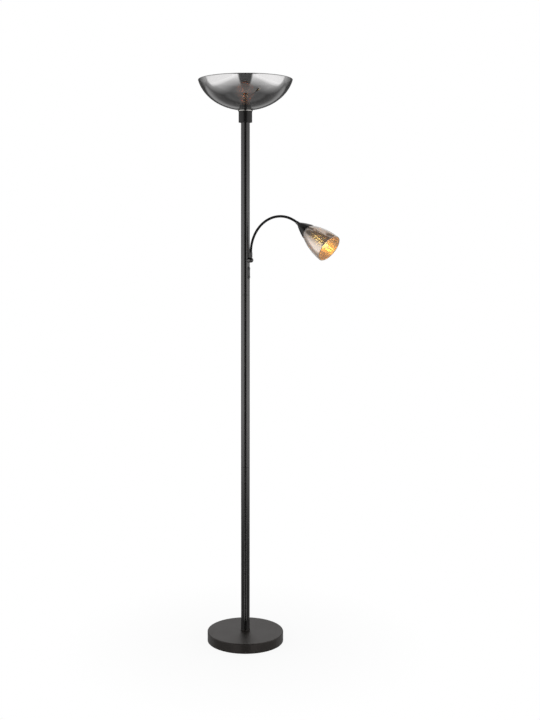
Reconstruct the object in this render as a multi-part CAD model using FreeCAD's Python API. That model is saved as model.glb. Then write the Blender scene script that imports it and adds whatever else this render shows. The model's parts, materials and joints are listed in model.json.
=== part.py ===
"""Uplighter floor lamp with a flexible reading arm, as an assembly of separate pieces.

Millimetres, +Z up, origin on the pole's axis at the underside of the foot pad.
+X points from the pole to the reading arm, its swivel and its switch plate.
Each function makes one piece, or a group of like pieces, in its place. The reading head
is drawn upright along Z and then tilted onto the end of the neck.
"""
import FreeCAD, Part
import math
import os

V = FreeCAD.Vector
X, Y, Z = V(1, 0, 0), V(0, 1, 0), V(0, 0, 1)

# ---- Driving dimensions, mm --------------------------------------------------------------
FIT = 0.05                              # radial gap round a piece that fits in another
SLACK = 0.1                             # gap between faces that meet
LOOSE = 0.3                             # radial gap round a piece in a plain hole

# Base: a thin steel dish over an iron weight, closed below by a plate and a foam pad
BASE_R, BASE_TOP, BASE_LIFT = 122.0, 32.0, 1.5
BASE_SKIN, BASE_EDGE_R = 1.2, 2.0
PAD_R, PAD_T = 117.0, 2.0
PLATE_R, PLATE_T = 119.0, 1.0
WEIGHT_R, WEIGHT_TOP, WEIGHT_BOSS_R = 116.0, 19.0, 30.0
RECESS_R, RECESS_TOP = 22.0, 12.0       # pocket for the nut, in the weight's underside
CHANNEL_HALF, CHANNEL_TOP = 4.2, 14.0   # cable channel from that pocket to the rear
BASE_NUT_FLATS, BASE_NUT_T = 17.0, 5.0
BASE_WASHER_R, BASE_WASHER_T = 15.0, 1.6

# Cable bush in the rear of the base
INLET_Z, INLET_BORE_R = 10.0, 3.3
BUSH_NECK_R, BUSH_FLANGE_R = 5.1, 6.6
BUSH_OUTER_T, BUSH_INNER_T = 1.8, 1.6

# Pole: three tubes with turned inserts, joined by threaded nipples
POLE_R, POLE_WALL = 14.0, 1.0
SEAM_LOW, SEAM_HIGH, POLE_TOP = 565.0, 1117.0, 1664.5
SEAM_BEVEL, INSERT_L = 0.5, 12.0
FOOT_RING_R, FOOT_RING_H, FOOT_RING_EDGE = 14.6, 6.0, 0.8
NIPPLE_R, NIPPLE_BORE_R, NIPPLE_HALF = 5.0, 3.75, 14.0
CABLE_R, CABLE_LOW, CABLE_TOP = 2.6, 16.0, 1683.0

# Cup, ring and bowl on top of the pole
CUP_R, CUP_WALL, CUP_FLOOR, CUP_TOP, CUP_BEVEL = 21.5, 1.3, 1.5, 1699.0, 0.4
CUP_NUT_FLATS, CUP_NUT_T = 14.0, 5.0
SEAT_RING_R, SEAT_RING_TOP = 23.8, 1705.0
GASKET_T, LOWER_GASKET_R, UPPER_GASKET_R = 0.8, 21.6, 26.0
BOWL_RIM_Z, BOWL_WALL, BOWL_HOLE_R = 1800.0, 3.0, 20.2
BOWL_HALF_R, BOWL_HALF_Z, BOWL_CENTRE_Z = 153.7, 122.0, 1825.0   # ellipse of the outside

# Upper lampholder, with the ring that clamps the bowl on its threaded skirt
HOLDER_FOOT, HOLDER_TOP = POLE_TOP + 8.0, 1719.0
HOLDER_R, HOLDER_FOOT_R, HOLDER_FLOOR_T = 19.6, 15.0, 8.0
CLAMP_RING_R, CLAMP_RING_H, CLAMP_RING_RIM, CLAMP_RING_NECK = 27.0, 6.0, 2.0, 2.2
CONTACT_R, CONTACT_T = 11.0, 5.0

# Screw threads of lamps, drawn as rings: cap radius, pitch and height of the cap
LARGE_CAP_R, LARGE_PITCH, LARGE_CAP_L = 13.2, 3.6, 27.0
SMALL_CAP_R, SMALL_PITCH, SMALL_CAP_L = 6.9, 2.8, 24.0
THREAD_DEPTH, THREAD_GAP, SLEEVE_SKIN = 0.9, 0.5, 0.4
CAP_FOOT, CAP_NECK = 4.0, 2.0           # thread's start above the contact and the insulator
CONTACT_TIP_R, CONTACT_TIP_H = 2.2, 0.8

# Bulbs
BULB_SKIN, STEM_R, STICK_R = 0.8, 1.6, 0.9
GLOBE_NECK_R, GLOBE_R, GLOBE_L = 13.0, 30.0, 78.0
CANDLE_NECK_R, CANDLE_R, CANDLE_L = 7.0, 17.5, 74.0

# Swivel on the pole
ARM_X, SWIVEL_Z = 22.0, 1228.0          # the arm rises here, out of the swivel's head
SWIVEL_R, SWIVEL_SKIN, SWIVEL_TIP = 8.0, 1.6, 30.0
BOSS_END, SWIVEL_WASHER_T, SWIVEL_WALL = 16.6, 0.4, 2.3
BOLT_R, BOLT_BORE_R, BOLT_HEAD_R, BOLT_HEAD_T = 4.0, 2.3, 5.4, 1.0
BOLT_START, ARM_NUT_START, ARM_NUT_T, ARM_NUT_FLATS = 5.0, 6.6, 4.0, 12.0
ARM_HOLE_R = 4.2

# Flexible neck: an even arc from a vertical start to the head
NECK_R, NECK_BORE_R = 4.0, 2.4
NECK_START_Z, NECK_BEND_R, NECK_TURN = 1253.0, 113.0, 124.0   # the turn is in degrees
LINKS, LINK_GAP = 11, 1.2
FERRULE_R, LOWER_FERRULE_R, FERRULE_BEVEL = 5.5, 4.9, 0.6
FERRULE_GRIP, FERRULE_NOSE = 8.0, 10.0  # neck held in a ferrule; upper ferrule's length
LOWER_SPIGOT_R, LOWER_SPIGOT_L = 3.5, 2.0
UPPER_SPIGOT_R, UPPER_SPIGOT_L = 3.2, 20.0

# Reading head, along its own axis from the cover's tip
COVER_L, COVER_TIP_R, COVER_RIM_R, COVER_SKIN = 40.0, 7.2, 24.4, 1.2
COVER_TIP_T, COVER_BULGE = 2.2, 0.9
SHADE_L, SHADE_LAP = 91.5, 1.5          # glass beyond the cover, and glass inside its rim
SHADE_SMALL_R, SHADE_BIG_R, SHADE_WALL = 22.6, 44.5, 2.2
SHADE_CORNER, SHADE_HOLE_R = 1.2, 14.2
SHADE_START = COVER_L - SHADE_LAP
SMALL_HOLDER_R, SMALL_HOLDER_FOOT, SMALL_HOLDER_END = 13.6, 14.0, 54.0
SMALL_ENTRY_R, SHOULDER_R, SHOULDER_T = 5.2, 17.0, 2.0
SMALL_RING_R, SMALL_RING_RIM = 17.2, 2.2
SMALL_THREAD = 34.8                     # start of the reading bulb's thread

# Switch plate on the pole, with two buttons
SWITCH_Z, BUTTON_PITCH = 1187.5, 27.0
PLATE_HALF_W, PLATE_HALF_H, PLATE_PROUD = 6.2, 20.5, 1.1
BUTTON_R, BUTTON_GAP = 4.3, 0.25
BUTTON_BACK, BUTTON_FACE, BUTTON_CROWN, BUTTON_EDGE = 7.6, 16.6, 17.4, 0.8
SWITCH_BACK, SWITCH_FRONT, SWITCH_HALF_W, SWITCH_HALF_H = 3.2, 11.0, 6.0, 22.0
SWITCH_FLOOR = 2.0

OVER = 1.0                              # how far a cutting tool runs past what it cuts


# ---- Helpers -----------------------------------------------------------------------------
def cylinder(radius, start, end, at=V(), along=Z):
    """A solid round bar from start to end along an axis through the point at."""
    return Part.makeCylinder(radius, end - start, at + along * start, along)


def tube(inner, outer, start, end, at=V(), along=Z):
    """A round tube from start to end along an axis through the point at."""
    solid = cylinder(outer, start, end, at, along)
    return solid.cut(cylinder(inner, start - OVER, end + OVER, at, along))


def draw(start, steps):
    """Edges in the XZ plane. A step is a point (r, z), or (middle, end) for an arc."""
    point = lambda rz: V(rz[0], 0, rz[1])
    edges, last = [], start
    for step in steps:
        if isinstance(step[0], tuple):
            edges.append(Part.Arc(point(last), point(step[0]), point(step[1])).toShape())
            last = step[1]
        elif step != last:
            edges.append(Part.LineSegment(point(last), point(step)).toShape())
            last = step
    return edges


def spin(edges):
    """Turns a closed loop of edges in the XZ plane about Z."""
    solid = Part.Face(Part.Wire(Part.__sortEdges__(edges))).revolve(V(), Z, 360)
    return solid if solid.Volume > 0 else solid.reversed()


def turned(start, *steps):
    """Turns a closed outline about Z, from its first point and its steps."""
    return spin(draw(start, steps + (start,)))


def corner(radius, centre_r, centre_z):
    """Middle point of a quarter arc that rounds an upper outer edge."""
    half = radius * math.sqrt(0.5)
    return centre_r + half, centre_z + half


def dome(radius, low, high):
    """Middle point of an arc about the axis, from (radius, low) to the axis at high."""
    rise = high - low
    ball_r = (radius ** 2 + rise ** 2) / (2 * rise)
    return radius / 2, high - ball_r + math.sqrt(ball_r ** 2 - radius ** 2 / 4)


def hexagon(flats, start, height, bore, at=V(), along=Z):
    """A hexagon nut with a plain bore."""
    corner_r = flats / math.sqrt(3)
    turns = [math.radians(60 * k) for k in range(7)]
    bar = Part.makePolygon([V(math.cos(a), math.sin(a), 0) * corner_r for a in turns])
    bar = Part.Face(bar).extrude(Z * height)
    bar.Placement = FreeCAD.Placement(at + along * start, FreeCAD.Rotation(Z, along))
    return bar.cut(cylinder(bore, start - OVER, start + height + OVER, at, along))


def save(name, *solids):
    """Writes one node's solids to parts/NAME.step."""
    shape = solids[0] if len(solids) == 1 else Part.makeCompound(list(solids))
    bad = [s for s in shape.Solids if not s.isValid() or s.Volume <= 0]
    if bad or not shape.Solids:
        raise ValueError(name + " is not a valid solid")
    shape.exportStep("parts/" + name + ".step")


# ---- Base --------------------------------------------------------------------------------
def base_cover():
    """Steel dish with a rounded edge, a centre hole and a hole for the cable bush."""
    skin, top, inner_top = BASE_SKIN, BASE_TOP, BASE_TOP - BASE_SKIN
    hole_r, inner_r = NIPPLE_R + LOOSE, BASE_R - skin
    bend_r, bend_z = BASE_R - BASE_EDGE_R, top - BASE_EDGE_R
    shell = turned((hole_r, top), (bend_r, top),
                   (corner(BASE_EDGE_R, bend_r, bend_z), (BASE_R, bend_z)),
                   (BASE_R, BASE_LIFT), (inner_r, BASE_LIFT), (inner_r, bend_z),
                   (corner(BASE_EDGE_R - skin, bend_r, bend_z), (bend_r, inner_top)),
                   (hole_r, inner_top))
    bush_hole = cylinder(BUSH_NECK_R + SLACK, inner_r - 2 * OVER, BASE_R + OVER, V(0, 0, INLET_Z), -X)
    return shell.cut(bush_hole)


def base_weight():
    """Cast disc with a central boss, a pocket for the nut and a channel for the cable."""
    bottom = PAD_T + PLATE_T + 2 * SLACK
    disc = cylinder(WEIGHT_R, bottom, WEIGHT_TOP)
    disc = disc.fuse(cylinder(WEIGHT_BOSS_R, bottom, BASE_TOP - BASE_SKIN)).removeSplitter()
    recess = cylinder(RECESS_R, 0, RECESS_TOP)
    length = WEIGHT_R + OVER
    channel = Part.makeBox(length, 2 * CHANNEL_HALF, CHANNEL_TOP, V(-length, -CHANNEL_HALF, 0))
    return disc.cut(recess).cut(channel).cut(cylinder(NIPPLE_R + LOOSE, 0, BASE_TOP))


def cable_bush():
    """Rubber bush with two flanges, one each side of the cover's wall."""
    at, outside, inside = V(0, 0, INLET_Z), BASE_R + FIT, BASE_R - BASE_SKIN - LOOSE
    end, edge = outside + BUSH_OUTER_T, BUSH_OUTER_T / 2
    rim = (corner(edge, BUSH_FLANGE_R - edge, end - edge), (BUSH_FLANGE_R - edge, end))
    bush = turned((INLET_BORE_R, inside - BUSH_INNER_T), (BUSH_FLANGE_R, inside - BUSH_INNER_T),
                  (BUSH_FLANGE_R, inside), (BUSH_NECK_R, inside), (BUSH_NECK_R, outside),
                  (BUSH_FLANGE_R, outside), (BUSH_FLANGE_R, end - edge), rim, (INLET_BORE_R, end))
    bush.Placement = FreeCAD.Placement(at, FreeCAD.Rotation(Z, -X))
    return bush


def build_base():
    nut_top = RECESS_TOP - BASE_WASHER_T - 2 * SLACK
    nut_low = nut_top - BASE_NUT_T
    save("foot_pad", cylinder(PAD_R, 0, PAD_T))
    save("base_plate", cylinder(PLATE_R, PAD_T, PAD_T + PLATE_T))
    save("base_weight", base_weight())
    save("base_cover", base_cover())
    save("cable_bush", cable_bush())
    save("base_nipple", tube(NIPPLE_BORE_R, NIPPLE_R, nut_low - OVER, BASE_TOP + INSERT_L))
    save("base_nut", hexagon(BASE_NUT_FLATS, nut_low, BASE_NUT_T, NIPPLE_R + FIT))
    save("base_washer", tube(NIPPLE_R + LOOSE, BASE_WASHER_R, nut_top + SLACK, RECESS_TOP - SLACK))


# ---- Pole --------------------------------------------------------------------------------
def pole_tube(low, high):
    """One length of the pole, with both outer edges bevelled so that a seam shows."""
    inner, bevel = POLE_R - POLE_WALL, SEAM_BEVEL
    return turned((inner, low), (POLE_R - bevel, low), (POLE_R, low + bevel),
                  (POLE_R, high - bevel), (POLE_R - bevel, high), (inner, high))


def pole_upper():
    """The top length, with holes for the arm's bolt and for both buttons."""
    solid = pole_tube(SEAM_HIGH, POLE_TOP)
    holes = [(ARM_HOLE_R, SWIVEL_Z)] + [(BUTTON_R + LOOSE, z) for z in button_heights()]
    for radius, z in holes:
        solid = solid.cut(cylinder(radius, 0, POLE_R + OVER, V(0, 0, z), X))
    return solid


def foot_ring():
    """Slim ring round the pole's foot, rounded at its upper edge."""
    inner, top, edge = POLE_R + FIT, BASE_TOP + FOOT_RING_H, FOOT_RING_R - POLE_R - FIT
    return turned((inner, BASE_TOP), (FOOT_RING_R, BASE_TOP), (FOOT_RING_R, top - edge),
                  (corner(edge, inner, top - edge), (inner, top)))


def build_pole():
    insert_lows = [BASE_TOP, SEAM_LOW - INSERT_L, SEAM_LOW, SEAM_HIGH - INSERT_L, SEAM_HIGH,
                   POLE_TOP - INSERT_L]
    inserts = [tube(NIPPLE_R + FIT, POLE_R - POLE_WALL - FIT, z, z + INSERT_L) for z in insert_lows]
    nipples = [tube(NIPPLE_BORE_R, NIPPLE_R, z - NIPPLE_HALF, z + NIPPLE_HALF)
               for z in (SEAM_LOW, SEAM_HIGH, POLE_TOP)]
    save("pole_lower", pole_tube(BASE_TOP, SEAM_LOW))
    save("pole_middle", pole_tube(SEAM_LOW, SEAM_HIGH))
    save("pole_upper", pole_upper())
    save("pole_inserts", *inserts)
    save("joint_nipples", *nipples)
    save("foot_ring", foot_ring())
    save("pole_cable", cylinder(CABLE_R, CABLE_LOW, CABLE_TOP))


# ---- Lamp threads, lampholders and bulbs ---------------------------------------------------
def thread_steps(radius, pitch, start, turns):
    """Rounded rings of a rolled lamp thread up a cylinder, as steps for an outline."""
    steps, mean, root = [], radius - THREAD_DEPTH / 2, radius - THREAD_DEPTH
    for k in range(turns):
        low = start + k * pitch
        steps.append(((root, low + pitch / 4), (mean, low + pitch / 2)))
        steps.append(((radius, low + 3 * pitch / 4), (mean, low + pitch)))
    return steps


def holder_sleeve(cap_r, pitch, low, turns):
    """Screw shell of a lampholder, rolled from thin sheet, in step with the bulb's thread."""
    walls = []
    for radius in (cap_r + THREAD_GAP, cap_r + THREAD_GAP + SLEEVE_SKIN):
        walls.append(((radius - THREAD_DEPTH / 2, low), thread_steps(radius, pitch, low, turns)))
    (inner_start, inner_steps), (outer_start, outer_steps) = walls
    edges = draw(inner_start, inner_steps + [outer_steps[-1][1]])
    return spin(edges + draw(outer_start, outer_steps) + draw(outer_start, [inner_start]))


def sleeve_bore(cap_r):
    """Radius of the hole in a lampholder that holds its sleeve."""
    return cap_r + THREAD_GAP + SLEEVE_SKIN + FIT


def bulb_cap(radius, pitch, thread, turns, length):
    """Screw cap of a bulb, above its insulator."""
    shoulder, end = thread + turns * pitch + 0.6, thread - CAP_FOOT + length
    steps = [(radius * 0.55, thread - CAP_NECK), (radius - THREAD_DEPTH / 2, thread)]
    steps += thread_steps(radius, pitch, thread, turns)
    steps += [(radius + 0.2, shoulder), (radius + 0.2, end), (0, end)]
    return turned((0, thread - CAP_NECK), *steps)


def bulb_contact(radius, thread):
    """Contact button on its insulator, under the cap."""
    low, high = thread - CAP_FOOT, thread - CAP_NECK
    return turned((0, low), (CONTACT_TIP_R, low), (CONTACT_TIP_R, low + CONTACT_TIP_H),
                  (radius * 0.5, high), (0, high))


def hollowed(solid, neck_r, low):
    """A bulb envelope of even wall, open below, from a function that draws it at an inset."""
    return solid(0).cut(solid(BULB_SKIN)).cut(cylinder(neck_r - BULB_SKIN, low - OVER, low + 2 * OVER))


def globe_glass(low, neck_r, globe_r, length):
    """Round bulb envelope with a slim neck. Its shoulder meets the globe at a 38 degree turn."""
    turn, centre, crown, throat_h = math.radians(38), low + length - globe_r, 0.32, 6.0

    def solid(inset):
        r, neck = globe_r - inset, neck_r - inset
        shoulder = (r * math.cos(turn), centre - r * math.sin(turn))
        waist = ((shoulder[0] + neck) / 2 - 1.2, (shoulder[1] + low + throat_h) / 2 + 0.6)
        side = (r * math.sin(turn), centre + r * math.cos(turn))
        cap = (r * crown, centre + r * math.sqrt(1 - crown ** 2))
        return turned((0, low), (neck, low), (neck, low + throat_h), (waist, shoulder),
                      ((r, centre), side), (cap, (0, centre + r)))
    return hollowed(solid, neck_r, low)


def candle_glass(low, neck_r, belly_r, length):
    """Candle bulb envelope: a belly that closes to a small round nose."""
    belly_h, nose_share, nose_h = length * 0.42, 0.24, 2.6

    def solid(inset):
        r, neck, tip = belly_r - inset, neck_r - inset, low + length - inset
        nose = (r * nose_share, tip - nose_h)
        return turned((0, low), (neck, low), ((r * 0.86, low + belly_h / 2), (r, low + belly_h)),
                      ((r * 0.80, low + length * 0.72), nose), (dome(*nose, tip), (0, tip)))
    return hollowed(solid, neck_r, low)


def bulb_stem(low, foot_r, height):
    """Glass stem that carries the filaments, flared at its foot."""
    return turned((0, low), (foot_r, low), (foot_r * 0.45, low + 5.0), (STEM_R, low + 9.0),
                  (STEM_R, low + height), (0, low + height))


def filaments(low, height, ring_r, count, lean):
    """Straight filament sticks round a ring, each leaning out a little from foot to top."""
    sticks = []
    for k in range(count):
        angle = 2 * math.pi * (k + 0.5) / count
        out = V(math.cos(angle), math.sin(angle), 0)
        foot, run = out * ring_r + Z * low, out * lean + Z * height
        sticks.append(Part.makeCylinder(STICK_R, run.Length, foot, run))
    return sticks


# ---- Cup, bowl and upper lamp --------------------------------------------------------------
def bowl_cup():
    """Turned cup on the pole's top that hides the lampholder."""
    inner, hole_r, floor = CUP_R - CUP_WALL, NIPPLE_R + LOOSE, POLE_TOP + CUP_FLOOR
    return turned((hole_r, POLE_TOP), (CUP_R - CUP_BEVEL, POLE_TOP), (CUP_R, POLE_TOP + CUP_BEVEL),
                  (CUP_R, CUP_TOP), (inner, CUP_TOP), (inner, floor), (hole_r, floor))


def bowl_ring():
    """Ring between the cup and the bowl, wider than the cup, with a half-round edge."""
    inner, half = CUP_R - CUP_WALL, (SEAT_RING_TOP - CUP_TOP) / 2
    flat_r = SEAT_RING_R - half
    return turned((inner, CUP_TOP), (flat_r, CUP_TOP),
                  ((SEAT_RING_R, CUP_TOP + half), (flat_r, SEAT_RING_TOP)), (inner, SEAT_RING_TOP))


def bowl():
    """Glass bowl: an even elliptical wall on a flat seat, with a round lip."""
    lip_z, seat = BOWL_RIM_Z - BOWL_WALL / 2, SEAT_RING_TOP + GASKET_T
    edges, seat_ends, lip_ends = [], [], []
    for inset in (0, BOWL_WALL):
        half_r, half_z, low = BOWL_HALF_R - inset, BOWL_HALF_Z - inset, seat + inset
        centre = V(0, 0, BOWL_CENTRE_Z)
        ellipse = Part.Ellipse(V(half_r, 0, BOWL_CENTRE_Z), centre - Z * half_z, centre)
        drops = [math.asin((BOWL_CENTRE_Z - z) / half_z) for z in (lip_z, low)]
        edges.append(Part.ArcOfEllipse(ellipse, *drops).toShape())
        lip_ends.append((half_r * math.cos(drops[0]), lip_z))
        seat_ends.append((half_r * math.cos(drops[1]), low))
    crest = ((lip_ends[0][0] + lip_ends[1][0]) / 2, BOWL_RIM_Z)
    edges += draw(lip_ends[0], [(crest, lip_ends[1])])
    hole = [(BOWL_HOLE_R, seat), (BOWL_HOLE_R, seat + BOWL_WALL)]
    edges += draw(seat_ends[0], hole + [seat_ends[1]])
    return spin(edges)


def lampholder_body():
    """Moulded holder: closed foot with a threaded entry, open skirt threaded outside."""
    foot, top, entry, bore = HOLDER_FOOT, HOLDER_TOP, NIPPLE_R + FIT, sleeve_bore(LARGE_CAP_R)
    return turned((entry, foot), (HOLDER_FOOT_R, foot), (HOLDER_R, foot + 6.0), (HOLDER_R, top - 1.0),
                  (HOLDER_R - 1.0, top), (bore, top), (bore, foot + HOLDER_FLOOR_T),
                  (entry, foot + HOLDER_FLOOR_T))


def contact_block(thread):
    """Insulating block on the holder's floor, and the spring tongue under the bulb."""
    low, high, top = HOLDER_FOOT + HOLDER_FLOOR_T, HOLDER_FOOT + HOLDER_FLOOR_T + CONTACT_T, thread - CAP_FOOT
    block = cylinder(CONTACT_R, low, high).cut(cylinder(NIPPLE_R + OVER, low - OVER, high - OVER))
    tongue_x, tongue_y = 8.0, 5.0
    tongue = Part.makeBox(tongue_x, tongue_y, top - high - 2 * SLACK,
                          V(-tongue_x / 2, -tongue_y / 2, high + SLACK))
    return block, tongue


def clamp_ring(bore_r, rim_r, low, rim, neck_r, height):
    """Threaded ring that clamps a glass on its holder: a wide rim and a tapered grip."""
    return turned((bore_r, low), (rim_r, low), (rim_r, low + rim), (neck_r, low + height),
                  (bore_r, low + height))


def build_top():
    seat, sleeve_low = SEAT_RING_TOP, HOLDER_FOOT + 14.0
    inside = seat + GASKET_T + BOWL_WALL
    thread = sleeve_low + 2 * LARGE_PITCH
    glass = thread - CAP_FOOT + LARGE_CAP_L
    nut_low = POLE_TOP + CUP_FLOOR
    gaskets = [tube(BOWL_HOLE_R, LOWER_GASKET_R, seat, seat + GASKET_T),
               tube(BOWL_HOLE_R, UPPER_GASKET_R, inside, inside + GASKET_T)]
    save("bowl_cup", bowl_cup())
    save("cup_nut", hexagon(CUP_NUT_FLATS, nut_low, CUP_NUT_T, NIPPLE_R + FIT))
    save("bowl_ring", bowl_ring())
    save("bowl_gaskets", *gaskets)
    save("bowl", bowl())
    save("lampholder_body", lampholder_body())
    save("lampholder_sleeve", holder_sleeve(LARGE_CAP_R, LARGE_PITCH, sleeve_low, 6))
    save("lampholder_contact", *contact_block(thread))
    save("shade_ring", clamp_ring(HOLDER_R + FIT, CLAMP_RING_R, inside + GASKET_T, CLAMP_RING_RIM,
                                  HOLDER_R + CLAMP_RING_NECK, CLAMP_RING_H))
    save("upper_bulb_cap", bulb_cap(LARGE_CAP_R, LARGE_PITCH, thread, 5, LARGE_CAP_L),
         bulb_contact(LARGE_CAP_R, thread))
    save("upper_bulb_glass", globe_glass(glass, GLOBE_NECK_R, GLOBE_R, GLOBE_L))
    save("upper_bulb_stem", bulb_stem(glass, 8.0, 30.0))
    save("upper_bulb_filaments", *filaments(glass + 14.0, 38.0, 5.0, 6, 6.0))


# ---- Swivel of the reading arm -------------------------------------------------------------
def bullet(radius, start, shoulder, at):
    """A bar along X through the point at, with a round nose from the shoulder on."""
    nose = Part.makeSphere(radius, at + X * shoulder, X, 0, 90, 360)
    return cylinder(radius, start, shoulder, at, X).fuse(nose).removeSplitter()


def swivel_head(at, start):
    """Hollow bullet that turns on the bolt and carries the arm's ferrule."""
    shoulder = SWIVEL_TIP - SWIVEL_R
    head = bullet(SWIVEL_R, start, shoulder, at)
    head = head.cut(bullet(SWIVEL_R - SWIVEL_SKIN, start + SWIVEL_WALL, shoulder, at))
    head = head.cut(cylinder(BOLT_R + 2 * FIT, start - OVER, start + 2 * SWIVEL_WALL, at, X))
    return head.cut(cylinder(LOWER_SPIGOT_R + FIT, 0, SWIVEL_R + OVER, at + X * ARM_X))


def lower_ferrule():
    """Ferrule that stands in the swivel's head and grips the neck's lower end."""
    low, top = SWIVEL_Z + SWIVEL_R + SLACK, NECK_START_Z
    grip, floor, foot = NECK_R + FIT, NECK_START_Z - FERRULE_GRIP - SLACK, low - LOWER_SPIGOT_L
    ferrule = turned((NECK_BORE_R, foot), (LOWER_SPIGOT_R, foot), (LOWER_SPIGOT_R, low),
                     (LOWER_FERRULE_R, low), (LOWER_FERRULE_R, top - FERRULE_BEVEL),
                     (LOWER_FERRULE_R - FERRULE_BEVEL, top), (grip, top), (grip, floor),
                     (NECK_BORE_R, floor))
    return ferrule.translated(X * ARM_X)


def build_swivel():
    at = V(0, 0, SWIVEL_Z)
    washer = BOSS_END + SLACK
    start = washer + SWIVEL_WASHER_T + SLACK
    bolt_end = start + SWIVEL_WALL + 2 * SLACK
    boss = tube(ARM_HOLE_R - SLACK, SWIVEL_R, POLE_R / 2, BOSS_END, at, X)
    bolt = tube(BOLT_BORE_R, BOLT_R, BOLT_START, bolt_end, at, X)
    bolt_head = tube(BOLT_BORE_R, BOLT_HEAD_R, bolt_end, bolt_end + BOLT_HEAD_T, at, X)
    save("arm_boss", boss.cut(cylinder(POLE_R + FIT, -2 * SWIVEL_R, 2 * SWIVEL_R, at)))
    save("arm_bolt", bolt.fuse(bolt_head).removeSplitter())
    save("arm_nut", hexagon(ARM_NUT_FLATS, ARM_NUT_START, ARM_NUT_T, BOLT_R + FIT, at, X))
    save("swivel_washer", tube(BOLT_R + LOOSE, SWIVEL_R - LOOSE, washer, washer + SWIVEL_WASHER_T, at, X))
    save("swivel_head", swivel_head(at, start))
    save("neck_ferrule_lower", lower_ferrule())


# ---- Flexible neck -------------------------------------------------------------------------
def neck_point(turn):
    """Point on the neck's arc after a turn in degrees."""
    a = math.radians(turn)
    return V(ARM_X + NECK_BEND_R * (1 - math.cos(a)), 0, NECK_START_Z + NECK_BEND_R * math.sin(a))


def neck_heading(turn):
    """Direction of the neck after a turn in degrees."""
    return V(math.sin(math.radians(turn)), 0, math.cos(math.radians(turn)))


def neck_link(start, end):
    """A curved length of the neck between two turns, in degrees."""
    arc = Part.Arc(neck_point(start), neck_point((start + end) / 2), neck_point(end))
    path = Part.Wire([arc.toShape()])
    rims = [Part.makeCircle(r, neck_point(start), neck_heading(start)) for r in (NECK_R, NECK_BORE_R)]
    outer, bore = [path.makePipeShell([Part.Wire([rim])], True, True) for rim in rims]
    return outer.cut(bore)


def build_neck():
    """Links of the neck. The first and the last run straight on into their ferrules."""
    step, half_gap = NECK_TURN / LINKS, math.degrees(LINK_GAP / 2 / NECK_BEND_R)
    for k in range(LINKS):
        first, last = k == 0, k == LINKS - 1
        start = k * step + (0 if first else half_gap)
        end = (k + 1) * step - (0 if last else half_gap)
        link = neck_link(start, end)
        if first:
            tail = tube(NECK_BORE_R, NECK_R, -FERRULE_GRIP, 0, neck_point(start), neck_heading(start))
            link = link.fuse(tail).removeSplitter()
        if last:
            tail = tube(NECK_BORE_R, NECK_R, 0, FERRULE_GRIP, neck_point(end), neck_heading(end))
            link = link.fuse(tail).removeSplitter()
        save("gooseneck_%02d" % (k + 1), link)


# ---- Reading head --------------------------------------------------------------------------
def place_on_neck(shape):
    """Moves a piece drawn along Z from the cover's tip to the end of the neck."""
    tip = neck_point(NECK_TURN) + neck_heading(NECK_TURN) * FERRULE_NOSE
    placed = shape.copy()
    placed.Placement = FreeCAD.Placement(tip, FreeCAD.Rotation(Y, NECK_TURN))
    return placed


def upper_ferrule():
    """Ferrule that grips the neck's end and runs on as the head's threaded spigot."""
    nose, grip, floor = -FERRULE_NOSE, NECK_R + FIT, FERRULE_GRIP - FERRULE_NOSE + SLACK
    return turned((NECK_BORE_R, floor), (grip, floor), (grip, nose), (FERRULE_R - FERRULE_BEVEL, nose),
                  (FERRULE_R, nose + FERRULE_BEVEL), (FERRULE_R, -SLACK), (UPPER_SPIGOT_R, -SLACK),
                  (UPPER_SPIGOT_R, UPPER_SPIGOT_L), (NECK_BORE_R, UPPER_SPIGOT_L))


def head_cover():
    """Conical cover over the lampholder, with a soft corner at its tip and slightly full sides."""
    tip, rim, skin, floor, edge = COVER_TIP_R, COVER_RIM_R, COVER_SKIN, COVER_TIP_T, 1.0
    hole_r, middle_r = UPPER_SPIGOT_R + SLACK, (tip + rim) / 2 + COVER_BULGE
    soft = edge * (1 - math.sqrt(0.5))
    return turned((hole_r, 0), (tip - edge, 0), ((tip - soft, soft), (tip, edge)),
                  ((middle_r, COVER_L / 2), (rim, COVER_L)), (rim - skin, COVER_L),
                  ((middle_r - skin, COVER_L / 2), (tip - skin + 0.5, floor)), (hole_r, floor))


def reading_shade():
    """Glass bell: a flat neck for the clamp ring, and walls that are straight at the rim."""
    wall, small, big, edge = SHADE_WALL, SHADE_SMALL_R, SHADE_BIG_R, SHADE_CORNER
    low, high, soft = SHADE_START, COVER_L + SHADE_L, SHADE_CORNER * (1 - math.sqrt(0.5))

    def bow(inset, start):
        """Middle point of a wall arc that runs along the axis where it reaches the rim."""
        run, rise = high - start, big - small
        radius = (run ** 2 + rise ** 2) / (2 * rise)
        return big - inset - radius + math.sqrt(radius ** 2 - run ** 2 / 4), high - run / 2
    lip = (big - wall / 2, high + wall * 0.35)
    return turned((SHADE_HOLE_R, low), (small - edge, low),
                  ((small - soft, low + soft), (small, low + edge)),
                  (bow(0, low + edge), (big, high)), (lip, (big - wall, high)),
                  (bow(wall, low + wall + edge), (small - wall, low + wall + edge)),
                  (small - wall - edge, low + wall), (SHADE_HOLE_R, low + wall))


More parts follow.
